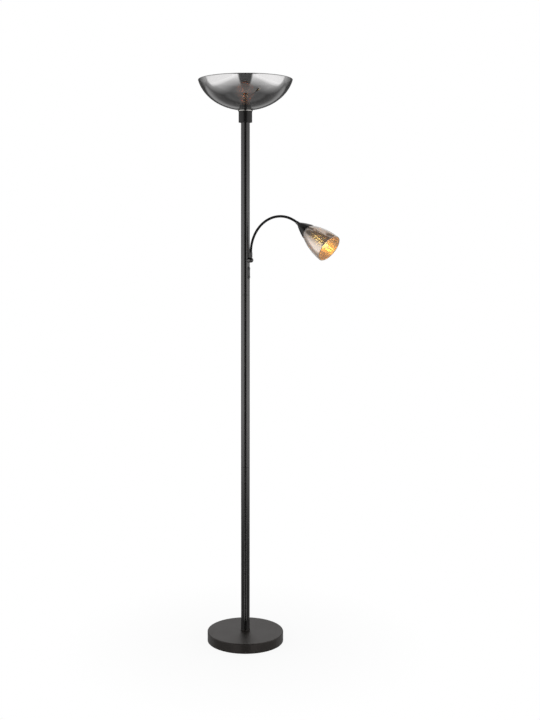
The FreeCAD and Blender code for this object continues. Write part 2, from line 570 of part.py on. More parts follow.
def small_holder():
    """Slim holder: threaded entry on the spigot, shoulder for the shade, long open skirt."""
    foot, end, r = SMALL_HOLDER_FOOT, SMALL_HOLDER_END, SMALL_HOLDER_R
    entry, bore, floor = UPPER_SPIGOT_R + FIT, sleeve_bore(SMALL_CAP_R), SMALL_HOLDER_FOOT + 10.0
    low, shoulder = COVER_TIP_T + SLACK, SHADE_START - SLACK
    return turned((entry, low), (SMALL_ENTRY_R, low), (SMALL_ENTRY_R + 1.0, foot), (9.5, foot + 6.0),
                  (r, foot + 12.0), (r, shoulder - SHOULDER_T), (SHOULDER_R, shoulder - SHOULDER_T),
                  (SHOULDER_R, shoulder), (r, shoulder), (r, end - 0.8), (r - 0.8, end),
                  (bore, end), (bore, floor), (entry, floor))


def small_contact():
    """Spring tongue in the small holder, under the reading bulb."""
    length, width, top = 5.0, 3.0, SMALL_THREAD - CAP_FOOT - SLACK
    low = SMALL_HOLDER_FOOT + 10.0 + 3.2
    return Part.makeBox(length, width, top - low, V(-length / 2, -width / 2, low))


def build_head():
    thread, ring_low = SMALL_THREAD, SHADE_START + SHADE_WALL + SLACK
    glass = thread - CAP_FOOT + SMALL_CAP_L
    pieces = {
        "neck_ferrule_upper": [upper_ferrule()],
        "head_cover": [head_cover()],
        "small_holder_body": [small_holder()],
        "small_holder_sleeve": [holder_sleeve(SMALL_CAP_R, SMALL_PITCH, thread - SMALL_PITCH, 7)],
        "small_holder_contact": [small_contact()],
        "reading_shade": [reading_shade()],
        "reading_shade_ring": [clamp_ring(SMALL_HOLDER_R + FIT, SMALL_RING_R, ring_low, SMALL_RING_RIM,
                                          SMALL_HOLDER_R + 1.6, CLAMP_RING_H)],
        "reading_bulb_cap": [bulb_cap(SMALL_CAP_R, SMALL_PITCH, thread, 6, SMALL_CAP_L),
                             bulb_contact(SMALL_CAP_R, thread)],
        "reading_bulb_glass": [candle_glass(glass, CANDLE_NECK_R, CANDLE_R, CANDLE_L)],
        "reading_bulb_stem": [bulb_stem(glass, 4.6, 22.0)],
        "reading_bulb_filaments": filaments(glass + 12.0, 38.0, 3.4, 4, 3.0),
    }
    for name, solids in pieces.items():
        save(name, *[place_on_neck(solid) for solid in solids])


# ---- Switch --------------------------------------------------------------------------------
def button_heights():
    return [SWITCH_Z + BUTTON_PITCH / 2, SWITCH_Z - BUTTON_PITCH / 2]


def switch_plate():
    """Upright plate with round ends, curved to the pole, with two button holes."""
    straight, reach = PLATE_HALF_H - PLATE_HALF_W, POLE_R + 2 * PLATE_PROUD
    outline = Part.makeBox(reach, 2 * PLATE_HALF_W, 2 * straight, V(0, -PLATE_HALF_W, SWITCH_Z - straight))
    for z in (SWITCH_Z - straight, SWITCH_Z + straight):
        outline = outline.fuse(cylinder(PLATE_HALF_W, 0, reach, V(0, 0, z), X))
    skin = tube(POLE_R + FIT, POLE_R + PLATE_PROUD, SWITCH_Z - PLATE_HALF_H - OVER,
                SWITCH_Z + PLATE_HALF_H + OVER)
    plate = skin.common(outline)
    for z in button_heights():
        plate = plate.cut(cylinder(BUTTON_R + BUTTON_GAP, 0, reach, V(0, 0, z), X))
    return plate.removeSplitter()


def switch_button(z):
    """Round push button with a softly domed face, guided in the switch body."""
    flat_r, edge = BUTTON_R - BUTTON_EDGE, BUTTON_FACE - BUTTON_EDGE
    button = turned((0, BUTTON_BACK), (BUTTON_R, BUTTON_BACK), (BUTTON_R, edge),
                    (corner(BUTTON_EDGE, flat_r, edge), (flat_r, BUTTON_FACE)),
                    (dome(flat_r, BUTTON_FACE, BUTTON_CROWN), (0, BUTTON_CROWN)))
    button.Placement = FreeCAD.Placement(V(0, 0, z), FreeCAD.Rotation(Z, X))
    return button


def switch_body():
    """Housing inside the pole with a blind bore behind each button."""
    body = Part.makeBox(SWITCH_FRONT - SWITCH_BACK, 2 * SWITCH_HALF_W, 2 * SWITCH_HALF_H,
                        V(SWITCH_BACK, -SWITCH_HALF_W, SWITCH_Z - SWITCH_HALF_H))
    for z in button_heights():
        floor = SWITCH_BACK + SWITCH_FLOOR
        body = body.cut(cylinder(BUTTON_R + BUTTON_GAP, floor, SWITCH_FRONT + OVER, V(0, 0, z), X))
    return body


def build_switch():
    save("switch_plate", switch_plate())
    save("switch_body", switch_body())
    for name, z in zip(("button_upper", "button_lower"), button_heights()):
        save(name, switch_button(z))


def main():
    os.makedirs("parts", exist_ok=True)
    build_base()
    build_pole()
    build_top()
    build_swivel()
    build_neck()
    build_head()
    build_switch()


main()
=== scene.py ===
"""Looks of an uplighter floor lamp with a flexible reading arm.
Metres, +Z up the pole, +X to the arm. Sizes of the turned glass and the hose are in mm."""
import json
import math
import bpy
from mathutils import Matrix, Vector

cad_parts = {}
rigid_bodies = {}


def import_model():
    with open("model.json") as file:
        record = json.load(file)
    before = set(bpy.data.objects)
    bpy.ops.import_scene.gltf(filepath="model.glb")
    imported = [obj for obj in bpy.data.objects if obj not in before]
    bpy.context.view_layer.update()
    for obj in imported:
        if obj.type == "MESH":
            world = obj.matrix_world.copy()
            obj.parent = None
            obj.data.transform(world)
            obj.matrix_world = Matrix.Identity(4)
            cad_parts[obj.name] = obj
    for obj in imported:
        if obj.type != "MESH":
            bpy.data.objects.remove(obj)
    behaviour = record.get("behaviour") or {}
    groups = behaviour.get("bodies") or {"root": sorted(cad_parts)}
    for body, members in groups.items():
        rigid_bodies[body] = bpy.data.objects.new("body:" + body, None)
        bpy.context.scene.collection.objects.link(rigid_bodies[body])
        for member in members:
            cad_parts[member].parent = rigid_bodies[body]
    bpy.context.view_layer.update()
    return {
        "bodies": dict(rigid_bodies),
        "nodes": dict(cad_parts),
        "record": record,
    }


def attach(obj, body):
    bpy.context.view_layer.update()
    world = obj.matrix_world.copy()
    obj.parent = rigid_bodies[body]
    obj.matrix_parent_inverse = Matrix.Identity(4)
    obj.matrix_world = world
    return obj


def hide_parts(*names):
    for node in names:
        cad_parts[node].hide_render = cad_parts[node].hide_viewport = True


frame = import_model()
MM = 0.001

TINY = 1e-6

# ---- Where the camera stands -------------------------------------------------------------
VIEW_AZIMUTH, VIEW_RANGE, VIEW_HEIGHT = math.radians(37), 3.5141, 1.3143
VIEW_PITCH = math.radians(2.246)
LENS, SENSOR, SHIFT = 55.13, 36.0, (0.0342, -0.1164)


def off_view(angle):
    """A level unit direction from the pole, at an angle in degrees off the camera's own."""
    turn = VIEW_AZIMUTH + math.radians(angle)
    return math.sin(turn), -math.cos(turn), 0


AWAY = Vector(off_view(0))                  # from the pole to the camera


# ---- Node helpers ------------------------------------------------------------------------
class Nodes:
    """Short calls for building a node tree. Links are made where a value is a socket."""

    def __init__(self, tree):
        self.tree = tree
        tree.nodes.clear()

    def put(self, kind, inputs=(), **settings):
        node = self.tree.nodes.new(kind)
        for key, value in settings.items():
            setattr(node, key, value)
        for key, value in dict(inputs).items():
            if isinstance(value, bpy.types.NodeSocket):
                self.tree.links.new(value, node.inputs[key])
            else:
                node.inputs[key].default_value = value
        return node

    def place(self):
        return self.put("ShaderNodeTexCoord").outputs["Object"]

    def noise(self, scale, detail=4.0, rough=0.55, at=None, stretch=None):
        at = at or self.place()
        if stretch:
            at = self.put("ShaderNodeMapping", {"Vector": at, "Scale": stretch}).outputs[0]
        return self.put("ShaderNodeTexNoise", {"Vector": at, "Scale": scale, "Detail": detail,
                                               "Roughness": rough}).outputs["Fac"]

    def cells(self, scale, feature="F1"):
        return self.put("ShaderNodeTexVoronoi", {"Vector": self.place(), "Scale": scale},
                        feature=feature).outputs["Distance"]

    def spread(self, value, low, high, to_low, to_high):
        return self.put("ShaderNodeMapRange", {"Value": value, "From Min": low, "From Max": high,
                                               "To Min": to_low, "To Max": to_high}).outputs[0]

    def math(self, operation, a, b=0.0):
        return self.put("ShaderNodeMath", {0: a, 1: b}, operation=operation).outputs[0]

    def blend(self, factor, a, b):
        return self.put("ShaderNodeMix", {0: factor, 6: a, 7: b}, data_type="RGBA").outputs[2]

    def bump(self, height, strength, depth, under=None):
        inputs = {"Height": height, "Strength": strength, "Distance": depth}
        if under:
            inputs["Normal"] = under
        return self.put("ShaderNodeBump", inputs).outputs[0]

    def parts(self, vector):
        return self.put("ShaderNodeSeparateXYZ", {"Vector": vector}).outputs

    def dot(self, a, b):
        return self.put("ShaderNodeVectorMath", {0: a, 1: b},
                        operation="DOT_PRODUCT").outputs["Value"]

    def finish(self, inputs):
        shader = self.put("ShaderNodeBsdfPrincipled", inputs)
        self.put("ShaderNodeOutputMaterial", {"Surface": shader.outputs[0]})


def material(name):
    made = bpy.data.materials.new(name)
    made.use_nodes = True
    return made, Nodes(made.node_tree)


def grey(value, warm=0.0):
    return (value * (1 + warm), value, value * (1 - warm), 1.0)


def scaled(tint, by):
    """A colour made darker, with its alpha kept at 1."""
    return tuple(c * by for c in tint[:3]) + (1,)


# ---- Materials ---------------------------------------------------------------------------
def powder_coat(name, base, rough, shine, dust=0.0, warm=0.02):
    """Satin black powder coat: fine orange peel, faint clouding and, if asked for, dust on top."""
    made, n = material(name)
    cloud, peel, grain = n.noise(9, 3), n.noise(620, 2), n.noise(2600, 2)
    colour = n.blend(n.spread(cloud, 0.35, 0.65, 0, 1),
                     grey(base * 0.88, warm), grey(base * 1.14, warm))
    speck = n.spread(grain, 0.60, 0.72, 0, 0.4)
    colour = n.blend(speck, colour, grey(base * 1.9, warm))
    gloss = n.spread(cloud, 0.3, 0.7, rough - 0.02, rough + 0.02)
    if dust:
        up = n.parts(n.put("ShaderNodeNewGeometry").outputs["Normal"])[2]
        lying = n.math("MULTIPLY", n.spread(up, 0.7, 0.98, 0, 1),
                       n.spread(n.noise(38, 6, 0.7), 0.3, 0.75, 0.25, 1))
        colour = n.blend(n.math("MULTIPLY", lying, dust), colour, grey(0.30, 0.10))
        gloss = n.math("ADD", gloss, n.math("MULTIPLY", lying, 0.06))
    bump = n.bump(grain, 0.02, 0.0001, n.bump(peel, 0.05, 0.00012))
    n.finish({"Base Color": colour, "Roughness": gloss, "Normal": bump,
              "Specular IOR Level": shine,
              "Specular Tint": (1.0, 1 - warm * 0.8, 1 - warm, 1.0)})
    return made


def hose_metal():
    """Black conduit: worn a little lighter along its ribs' crests, oily dark in the grooves."""
    made, n = material("hose_black")
    crest = n.put("ShaderNodeAttribute", attribute_name="crest").outputs["Fac"]
    patch = n.noise(150, 4)
    worn = n.math("MULTIPLY", n.spread(crest, 0.7, 1, 0, 1),
                  n.spread(patch, 0.4, 0.7, 0.1, 1))
    colour = n.blend(worn, grey(0.004), grey(0.018, 0.03))
    gloss = n.math("SUBTRACT", 0.46, n.math("MULTIPLY", worn, 0.12))
    n.finish({"Base Color": colour, "Roughness": gloss, "Specular IOR Level": 0.16,
              "Normal": n.bump(n.noise(3000, 2), 0.12, 0.0001)})
    return made


def mirror_glass(name, tint, alpha, rough, metal, streak=0.05, glow=None):
    """Glass with a smoky see-through mirror coat, faint clouds and fine wiping marks; a glow, if
    given, is painted light.
    """
    made, n = material(name)
    cloud = n.noise(14, 3)
    wiped = n.noise(60, 5, 0.7, stretch=(1, 1, 7))
    colour = n.blend(n.spread(cloud, 0.3, 0.7, 0, 1), scaled(tint, 1 - streak), tint)
    gloss = n.spread(wiped, 0.35, 0.75, rough, rough * 1.9)
    inputs = {"Base Color": colour, "Metallic": metal, "Roughness": gloss, "Alpha": alpha,
              "Normal": n.bump(cloud, 0.05, 0.0006), "IOR": 1.5}
    # painted glow: the glass gives off light of its own, standing in for light that reaches it
    if glow:
        inputs["Emission Color"], inputs["Emission Strength"] = glow
    n.finish(inputs)
    return made


def lamp_glass(name, tint, alpha, rough=0.03, glow=None):
    """Thin blown glass of a bulb, tinted, with the slow unevenness of blown glass; a glow, if
    given, is painted light.
    """
    made, n = material(name)
    uneven, film = n.noise(45, 2), n.noise(160, 3)
    colour = n.blend(n.spread(film, 0.35, 0.65, 0, 1), scaled(tint, 0.9), tint)
    inputs = {"Base Color": colour, "Alpha": alpha,
              "Roughness": n.spread(film, 0.3, 0.7, rough, rough * 2),
              "Normal": n.bump(uneven, 0.08, 0.0008), "IOR": 1.5, "Specular IOR Level": 0.9,
              "Coat Weight": 1.0, "Coat Roughness": 0.02}
    # painted glow: the glass gives off light of its own, standing in for light that reaches it
    if glow:
        inputs["Emission Color"], inputs["Emission Strength"] = glow
    n.finish(inputs)
    return made


def metal(name, tint, rough, scratch=0.25, stretch=(1, 1, 14)):
    """Plain or plated metal with fine turning marks and a mottled film."""
    made, n = material(name)
    film, marks = n.noise(55, 5), n.noise(420, 3, 0.6, stretch=stretch)
    colour = n.blend(n.spread(film, 0.35, 0.7, 0, 1), tint, scaled(tint, 0.72))
    n.finish({"Base Color": colour, "Metallic": 1.0,
              "Roughness": n.spread(film, 0.3, 0.7, rough, rough * 1.5),
              "Normal": n.bump(marks, scratch, 0.0001)})
    return made


def moulded(name, base, rough, grain=0.2, scale=1400):
    """Moulded plastic or rubber: fine spark texture and a slight unevenness in its gloss."""
    made, n = material(name)
    cloud, texture = n.noise(70, 3), n.cells(scale)
    colour = n.blend(n.spread(cloud, 0.35, 0.65, 0, 1),
                     grey(base * 0.85), grey(base * 1.2, 0.02))
    n.finish({"Base Color": colour,
              "Roughness": n.spread(cloud, 0.3, 0.7, rough, rough + 0.08),
              "Normal": n.bump(texture, grain, 0.0002)})
    return made


def cast(name, base, rough):
    """Rough cast iron, with sand texture and a bloom of rust."""
    made, n = material(name)
    sand, bloom = n.noise(380, 8, 0.7), n.noise(26, 6, 0.7)
    colour = n.blend(n.spread(bloom, 0.55, 0.75, 0, 0.7), grey(base), (0.16, 0.075, 0.035, 1))
    n.finish({"Base Color": colour, "Metallic": 0.5,
              "Roughness": n.spread(sand, 0.3, 0.7, rough, 0.9),
              "Normal": n.bump(sand, 0.6, 0.0006)})
    return made


def phosphor(name, tint, glow, strength):
    """Glowing filament stick: a grainy phosphor skin over a line of tiny diodes."""
    made, n = material(name)
    grain, along = n.noise(1500, 3), n.noise(330, 2)
    colour = n.blend(n.spread(grain, 0.35, 0.65, 0, 1), tint, scaled(tint, 0.8))
    n.finish({"Base Color": colour, "Roughness": 0.6, "Normal": n.bump(grain, 0.3, 0.0001),
              "Emission Color": n.blend(n.spread(along, 0.4, 0.6, 0, 1),
                                        glow, tuple(c ** 0.7 for c in glow)),
              "Emission Strength": strength})
    return made


finishes = {
    "black_powder_coat": powder_coat("powder_black", 0.009, 0.22, 0.85),
    "powder_base": powder_coat("powder_black_base", 0.014, 0.40, 0.5, dust=0.04, warm=0.12),
    "powder_soft": powder_coat("powder_black_soft", 0.008, 0.30, 0.42),
    "flexible_hose": hose_metal(),
    "dark_nickel": metal("nickel_dark", (0.46, 0.45, 0.43, 1), 0.12, 0.08),
    "smoked_glass": mirror_glass("smoke_mirror", (0.44, 0.435, 0.435, 1), 0.93, 0.05, 0.98),
    "smoked_inside": mirror_glass("smoke_mirror_inside", (0.26, 0.22, 0.19, 1), 0.45, 0.06, 0.9),
    "shade_outside": mirror_glass("amber_mirror", (0.78, 0.74, 0.73, 1), 0.60, 0.05, 0.66),
    # painted glow: the inside of the reading shade gives off a faint warm light of its own,
    # standing in for the bulb's light falling on it
    "shade_inside": mirror_glass("amber_mirror_inside_painted_glow", (0.74, 0.49, 0.16, 1), 0.80, 0.045, 0.68,
                                 glow=((1.0, 0.66, 0.30, 1), 0.03)),
    "glass_edge": lamp_glass("smoke_glass_edge", (0.035, 0.030, 0.027, 1), 0.95, 0.06),
    "shade_edge": lamp_glass("amber_glass_edge", (0.50, 0.38, 0.30, 1), 0.9, 0.06),
    "foot_foam": moulded("foam_black", 0.03, 0.85, 0.6, 900),
    "soft_rubber": moulded("rubber_black", 0.022, 0.6, 0.25, 1800),
    "cast_iron": cast("iron_cast", 0.09, 0.6),
    "zinc_steel": metal("steel_zinc", (0.62, 0.61, 0.58, 1), 0.28),
    "cable_jacket": moulded("cable_black", 0.02, 0.45, 0.15, 2500),
    "black_moulding": moulded("moulding_black", 0.022, 0.34, 0.12, 2200),
    "black_button": moulded("button_black", 0.03, 0.26, 0.08, 2600),
    "contact_brass": metal("brass_contact", (0.72, 0.53, 0.25, 1), 0.25),
    "bulb_cap_metal": metal("cap_metal", (0.74, 0.73, 0.70, 1), 0.22),
    # painted glow: the upper bulb's amber glass gives off light of its own, standing in for light
    # falling through it from above
    "amber_glass": lamp_glass("bulb_amber_painted_glow", (0.85, 0.36, 0.08, 1), 0.60,
                              glow=((1.0, 0.40, 0.10, 1), 0.35)),
    # painted glow: the reading bulb's clear glass gives off light of its own, standing in for the
    # filaments' light scattered in it
    "clear_glass": lamp_glass("bulb_clear_painted_glow", (0.95, 0.80, 0.58, 1), 0.26,
                              glow=((1.0, 0.76, 0.26, 1), 0.35)),
    "filament_dim": phosphor("filament_low", (0.80, 0.52, 0.14, 1), (1.0, 0.42, 0.10, 1), 9.0),
    "filament_lit": phosphor("filament_hot", (1.0, 0.75, 0.3, 1), (1.0, 0.80, 0.24, 1), 9.0),
}

slot_of = {part["node"]: part["material_slot"] for part in frame["record"]["subparts"]}
for name, node in frame["nodes"].items():
    node.data.materials.clear()
    node.data.materials.append(finishes[slot_of[name]])
for name, finish in (("base_cover", "powder_base"), ("foot_ring", "powder_base"),
                     ("bowl_cup", "powder_soft"), ("head_cover", "powder_soft")):
    frame["nodes"][name].data.materials[0] = finishes[finish]


# ---- Mesh helpers ------------------------------------------------------------------------
def mesh_piece(name, verts, faces, materials, face_material=None):
    mesh = bpy.data.meshes.new(name)
    mesh.from_pydata([tuple(v) for v in verts], [], faces)
    for made in materials:
        mesh.materials.append(made)
    if face_material:
        mesh.polygons.foreach_set("material_index", face_material)
    mesh.polygons.foreach_set("use_smooth", [True] * len(mesh.polygons))
    mesh.update()
    piece = bpy.data.objects.new(name, mesh)
    bpy.context.scene.collection.objects.link(piece)
    return piece


def lathe(name, loops, materials, segments=160, place=Matrix.Identity(4), closed=True):
    """Turns a profile about Z. It is a list of (points in mm, material index) runs that join up,
    and a point on the axis closes the surface there."""
    points, indices = [], []
    for run, index in loops:
        for point in run:
            if not points or (Vector(point) - Vector(points[-1])).length > TINY:
                points.append(point)
                indices.append(index)
    if closed and (Vector(points[0]) - Vector(points[-1])).length < TINY:
        points.pop()
        indices.pop(0)
    verts, rings = [], []
    for r, z in points:
        if r < TINY:
            rings.append([len(verts)] * segments)
            verts.append(place @ Vector((0, 0, z * MM)))
        else:
            rings.append([len(verts) + k for k in range(segments)])
            verts += [place @ Vector((r * MM * math.cos(a), r * MM * math.sin(a), z * MM))
                      for a in (2 * math.pi * k / segments for k in range(segments))]
    faces, of_face = [], []
    last = len(points) if closed else len(points) - 1
    for i in range(last):
        low, high = rings[i], rings[(i + 1) % len(points)]
        material_index = indices[i % len(indices)] if closed else indices[i + 1]
        for k in range(segments):
            m = (k + 1) % segments
            corners = [low[k], low[m], high[m], high[k]]
            corners = [c for j, c in enumerate(corners) if c != corners[j - 1]]
            if len(corners) > 2:
                faces.append(corners)
                of_face.append(material_index)
    return mesh_piece(name, verts, faces, materials, of_face)


def arc(centre, radius, start, end, steps):
    """Points of a circle's arc in (r, z), between two angles in degrees."""
    return [(centre[0] + radius * math.cos(math.radians(start + (end - start) * k / steps)),
             centre[1] + radius * math.sin(math.radians(start + (end - start) * k / steps)))
            for k in range(steps + 1)]


def through(a, b, c, steps):
    """Points of the arc from a to c through b."""
    ax, ay, bx, by, cx, cy = *a, *b, *c
    d = 2 * (ax * (by - cy) + bx * (cy - ay) + cx * (ay - by))
    aa, bb, cc = ax ** 2 + ay ** 2, bx ** 2 + by ** 2, cx ** 2 + cy ** 2
    ux = (aa * (by - cy) + bb * (cy - ay) + cc * (ay - by)) / d
    uy = (aa * (cx - bx) + bb * (ax - cx) + cc * (bx - ax)) / d
    radius = math.hypot(ax - ux, ay - uy)
    first, middle, final = (math.atan2(y - uy, x - ux) for x, y in (a, b, c))
    turn = (final - first) % (2 * math.pi)
    if (middle - first) % (2 * math.pi) > turn:
        turn -= 2 * math.pi
    angles = [first + turn * k / steps for k in range(steps + 1)]
    return [(ux + radius * math.cos(t), uy + radius * math.sin(t)) for t in angles]


# ---- Glass bowl --------------------------------------------------------------------------
BOWL_R, BOWL_H, BOWL_CENTRE, BOWL_RIM = 153.7, 122.0, 1825.0, 1800.0
BOWL_WALL, BOWL_SEAT, BOWL_HOLE, BOWL_STEPS, LIP_STEPS = 3.0, 1705.8, 20.2, 72, 8


def ellipse(inset, start_z, end_z, steps):
    """The bowl's curve, set in by part of its wall, between two heights."""
    turn = [math.asin((BOWL_CENTRE - z) / (BOWL_H - inset)) for z in (start_z, end_z)]
    return [((BOWL_R - inset) * math.cos(t), BOWL_CENTRE - (BOWL_H - inset) * math.sin(t))
            for t in (turn[0] + (turn[1] - turn[0]) * k / steps for k in range(steps + 1))]


lip = BOWL_RIM - BOWL_WALL / 2
outside = ellipse(0, BOWL_SEAT, lip, BOWL_STEPS)
inside = ellipse(BOWL_WALL, lip, BOWL_SEAT + BOWL_WALL, BOWL_STEPS)
crest = ((outside[-1][0] + inside[0][0]) / 2, BOWL_RIM)
bowl = lathe("bowl_glass", [
    ([(BOWL_HOLE, BOWL_SEAT)] + outside, 0),
    (through(outside[-1], crest, inside[0], LIP_STEPS), 2),
    (inside, 1),
    ([inside[-1], (BOWL_HOLE, BOWL_SEAT + BOWL_WALL), (BOWL_HOLE, BOWL_SEAT)], 2)],
    [finishes[k] for k in ("smoked_glass", "smoked_inside", "glass_edge")], segments=256)
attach(bowl, "stand")
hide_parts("bowl")

# ---- Reading shade, drawn along its own axis from the tip of its cover -------------------
NECK_X, NECK_Z, NECK_BEND, NECK_TURN, NOSE = 22.0, 1253.0, 113.0, 124.0, 10.0


def neck_point(turn):
    a = math.radians(turn)
    return Vector((NECK_X + NECK_BEND * (1 - math.cos(a)), 0, NECK_Z + NECK_BEND * math.sin(a)))


def neck_heading(turn):
    return Vector((math.sin(math.radians(turn)), 0, math.cos(math.radians(turn))))


head_place = Matrix.Translation((neck_point(NECK_TURN) + neck_heading(NECK_TURN) * NOSE) * MM) \
    @ Matrix.Rotation(math.radians(NECK_TURN), 4, "Y")
SMALL, BIG, WALL, HOLE, LOW, HIGH, EDGE = 22.6, 44.5, 2.2, 14.2, 38.5, 131.5, 1.2
LIP_RISE, SHADE_STEPS, EDGE_STEPS = 0.35, 64, 6


def bow(inset, start):
    """The middle of the shade's side, which bows out and is upright at the mouth."""
    run, rise = HIGH - start, BIG - SMALL
    radius = (run ** 2 + rise ** 2) / (2 * rise)
    return BIG - inset - radius + math.sqrt(radius ** 2 - run ** 2 / 4), HIGH - run / 2


wall_out = through((SMALL, LOW + EDGE), bow(0, LOW + EDGE), (BIG, HIGH), SHADE_STEPS)
wall_in = through((BIG - WALL, HIGH), bow(WALL, LOW + WALL + EDGE),
                  (SMALL - WALL, LOW + WALL + EDGE), SHADE_STEPS)
shade = lathe("shade_glass", [
    ([(HOLE, LOW), (SMALL - EDGE, LOW)], 2),
    (arc((SMALL - EDGE, LOW + EDGE), EDGE, -90, 0, EDGE_STEPS), 0),
    (wall_out, 0),
    (through((BIG, HIGH), (BIG - WALL / 2, HIGH + WALL * LIP_RISE), (BIG - WALL, HIGH),
             LIP_STEPS), 2),
    (wall_in, 1),
    ([wall_in[-1], (SMALL - WALL - EDGE, LOW + WALL), (HOLE, LOW + WALL), (HOLE, LOW)], 2)],
    [finishes[k] for k in ("shade_outside", "shade_inside", "shade_edge")],
    segments=192, place=head_place)
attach(shade, "head")
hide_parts("reading_shade")

# ---- Flexible neck: ribbed lengths, with a ball at each joint that fills the bend --------
HOSE_R, GROOVE, PITCH, PER_RIB, ROUND, TAIL, LINKS = 4.0, 0.5, 2.6, 9, 28, 5.0, 11
BALL_R, BALL_STEPS, BALL_END = 3.44, 14, 172.0
RELIEF = 0.5                # the ribs stop this far from a joint, to stay clear when it bends
GROOVE_HALF, GROOVE_ROUND = 0.26, 1.5       # half a groove's share of the pitch, and its shape


def rib_height(s, around):
    """How far out the hose stands at a place along and round it: 1 on a rib, 0 in a groove."""
    phase = (s / PITCH + around / (2 * math.pi)) % 1.0
    return 1 - max(0.0, 1 - abs(phase - 0.5) / GROOVE_HALF) ** GROOVE_ROUND


def hose_skin(name, start, end, joint=None):
    """A ribbed length of hose between two places along the neck, in mm of its centre line.
    It ends in a ball if a joint's place is given."""
    steps = round((end - start) / PITCH * PER_RIB)
    rings = [(start + (end - start) * i / steps, 0.0, None) for i in range(steps + 1)]
    if joint is not None:
        first = math.acos(RELIEF / BALL_R)
        for i in range(BALL_STEPS + 1):
            t = first + (math.radians(BALL_END) - first) * i / BALL_STEPS
            rings.append((joint, -BALL_R * math.cos(t), BALL_R * math.sin(t)))
    arc_length = math.radians(NECK_TURN) * NECK_BEND
    verts, crests, faces = [], [], []
    for s, beyond, core in rings:
        turn = math.degrees(min(max(s, 0), arc_length) / NECK_BEND)
        ahead = neck_heading(turn)
        centre = neck_point(turn) + ahead * (s - math.radians(turn) * NECK_BEND + beyond)
        outward = Vector((-ahead.z, 0, ahead.x))
        for k in range(ROUND):
            a = 2 * math.pi * k / ROUND
            height = rib_height(s, a) if core is None else 0.0
            r = HOSE_R - GROOVE * (1 - height) if core is None else core
            beside = outward * (r * math.cos(a)) + Vector((0, 1, 0)) * (r * math.sin(a))
            verts.append((centre + beside) * MM)
            crests.append(height)
    for i in range(len(rings) - 1):
        for k in range(ROUND):
            m = (k + 1) % ROUND
            low, high = i * ROUND, (i + 1) * ROUND
            faces.append((low + k, high + k, high + m, low + m))
    faces.append(tuple(range(ROUND)))
    faces.append(tuple((len(rings) - 1) * ROUND + k for k in reversed(range(ROUND))))
    piece = mesh_piece(name, verts, faces, [finishes["flexible_hose"]])
    piece.data.attributes.new("crest", "FLOAT", "POINT").data.foreach_set("value", crests)
    return piece


link_body = ["swivel"] + ["neck_link_%02d" % k for k in range(2, LINKS)] + ["head"]
link_length = math.radians(NECK_TURN) * NECK_BEND / LINKS
for k, body in enumerate(link_body):
    joint = link_length * (k + 1)
    start = -TAIL if k == 0 else link_length * k + RELIEF
    if k == LINKS - 1:
        piece = hose_skin("hose_%02d" % (k + 1), start, joint + TAIL)
    else:
        piece = hose_skin("hose_%02d" % (k + 1), start, joint - RELIEF, joint)
    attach(piece, body)
    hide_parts("gooseneck_%02d" % (k + 1))

# ---- Light of the lit reading bulb -------------------------------------------------------
GLOW_ALONG = 92.0           # along the shade's axis, in the middle of the bulb
glow = bpy.data.lights.new("reading_glow", "POINT")
glow.energy, glow.color, glow.shadow_soft_size = 0.038, (1.0, 0.76, 0.42), 0.010
glow_holder = bpy.data.objects.new("reading_glow", glow)
bpy.context.scene.collection.objects.link(glow_holder)
glow_holder.location = head_place @ Vector((0, 0, GLOW_ALONG * MM))
glow_holder.parent = frame["bodies"]["head"]
glow_holder.visible_camera = glow_holder.visible_glossy = False

# ---- Studio ------------------------------------------------------------------------------
BOX_ANGLE, BOX_RANGE, BOX_LOW, BOX_HIGH, BOX_WIDTH = 69, 2.2, -0.3, 2.6, 4.3
SIDE_FADE = (0.0, 0.12, 0.0, 1.0)           # from, to as a share of the box, and the light at each
FOOT_FADE, TOP_FADE = (0.0, 0.22, 0.0, 1.0), (0.50, 1.0, 1.0, 0.12)


def softbox(name, angle, power):
    """An upright soft light at an angle off the view, turned to the pole, with fading edges."""
    place = Vector(off_view(angle)) * BOX_RANGE
    light = bpy.data.lights.new(name, "AREA")
    light.shape, light.size, light.size_y = "RECTANGLE", BOX_WIDTH, BOX_HIGH - BOX_LOW
    light.energy = power
    light.use_nodes = True
    n = Nodes(light.node_tree)
    across, up, _ = n.parts(n.put("ShaderNodeNewGeometry").outputs["Parametric"])
    inward = n.math("SUBTRACT", 0.5, n.math("ABSOLUTE", n.math("SUBTRACT", across, 0.5)))
    fade = n.math("MULTIPLY", n.spread(inward, *SIDE_FADE), n.spread(up, *FOOT_FADE))
    fade = n.math("MULTIPLY", fade, n.spread(up, *TOP_FADE))
    lit = n.put("ShaderNodeEmission", {"Strength": fade})
    n.put("ShaderNodeOutputLight", {"Surface": lit.outputs[0]})
    holder = bpy.data.objects.new(name, light)
    bpy.context.scene.collection.objects.link(holder)
    holder.location = place + Vector((0, 0, (BOX_LOW + BOX_HIGH) / 2))
    holder.rotation_euler = (-place).to_track_quat("-Z", "Y").to_euler()
    holder.visible_camera = False


softbox("softbox_left", -BOX_ANGLE, 64)
softbox("softbox_right", BOX_ANGLE, 68)

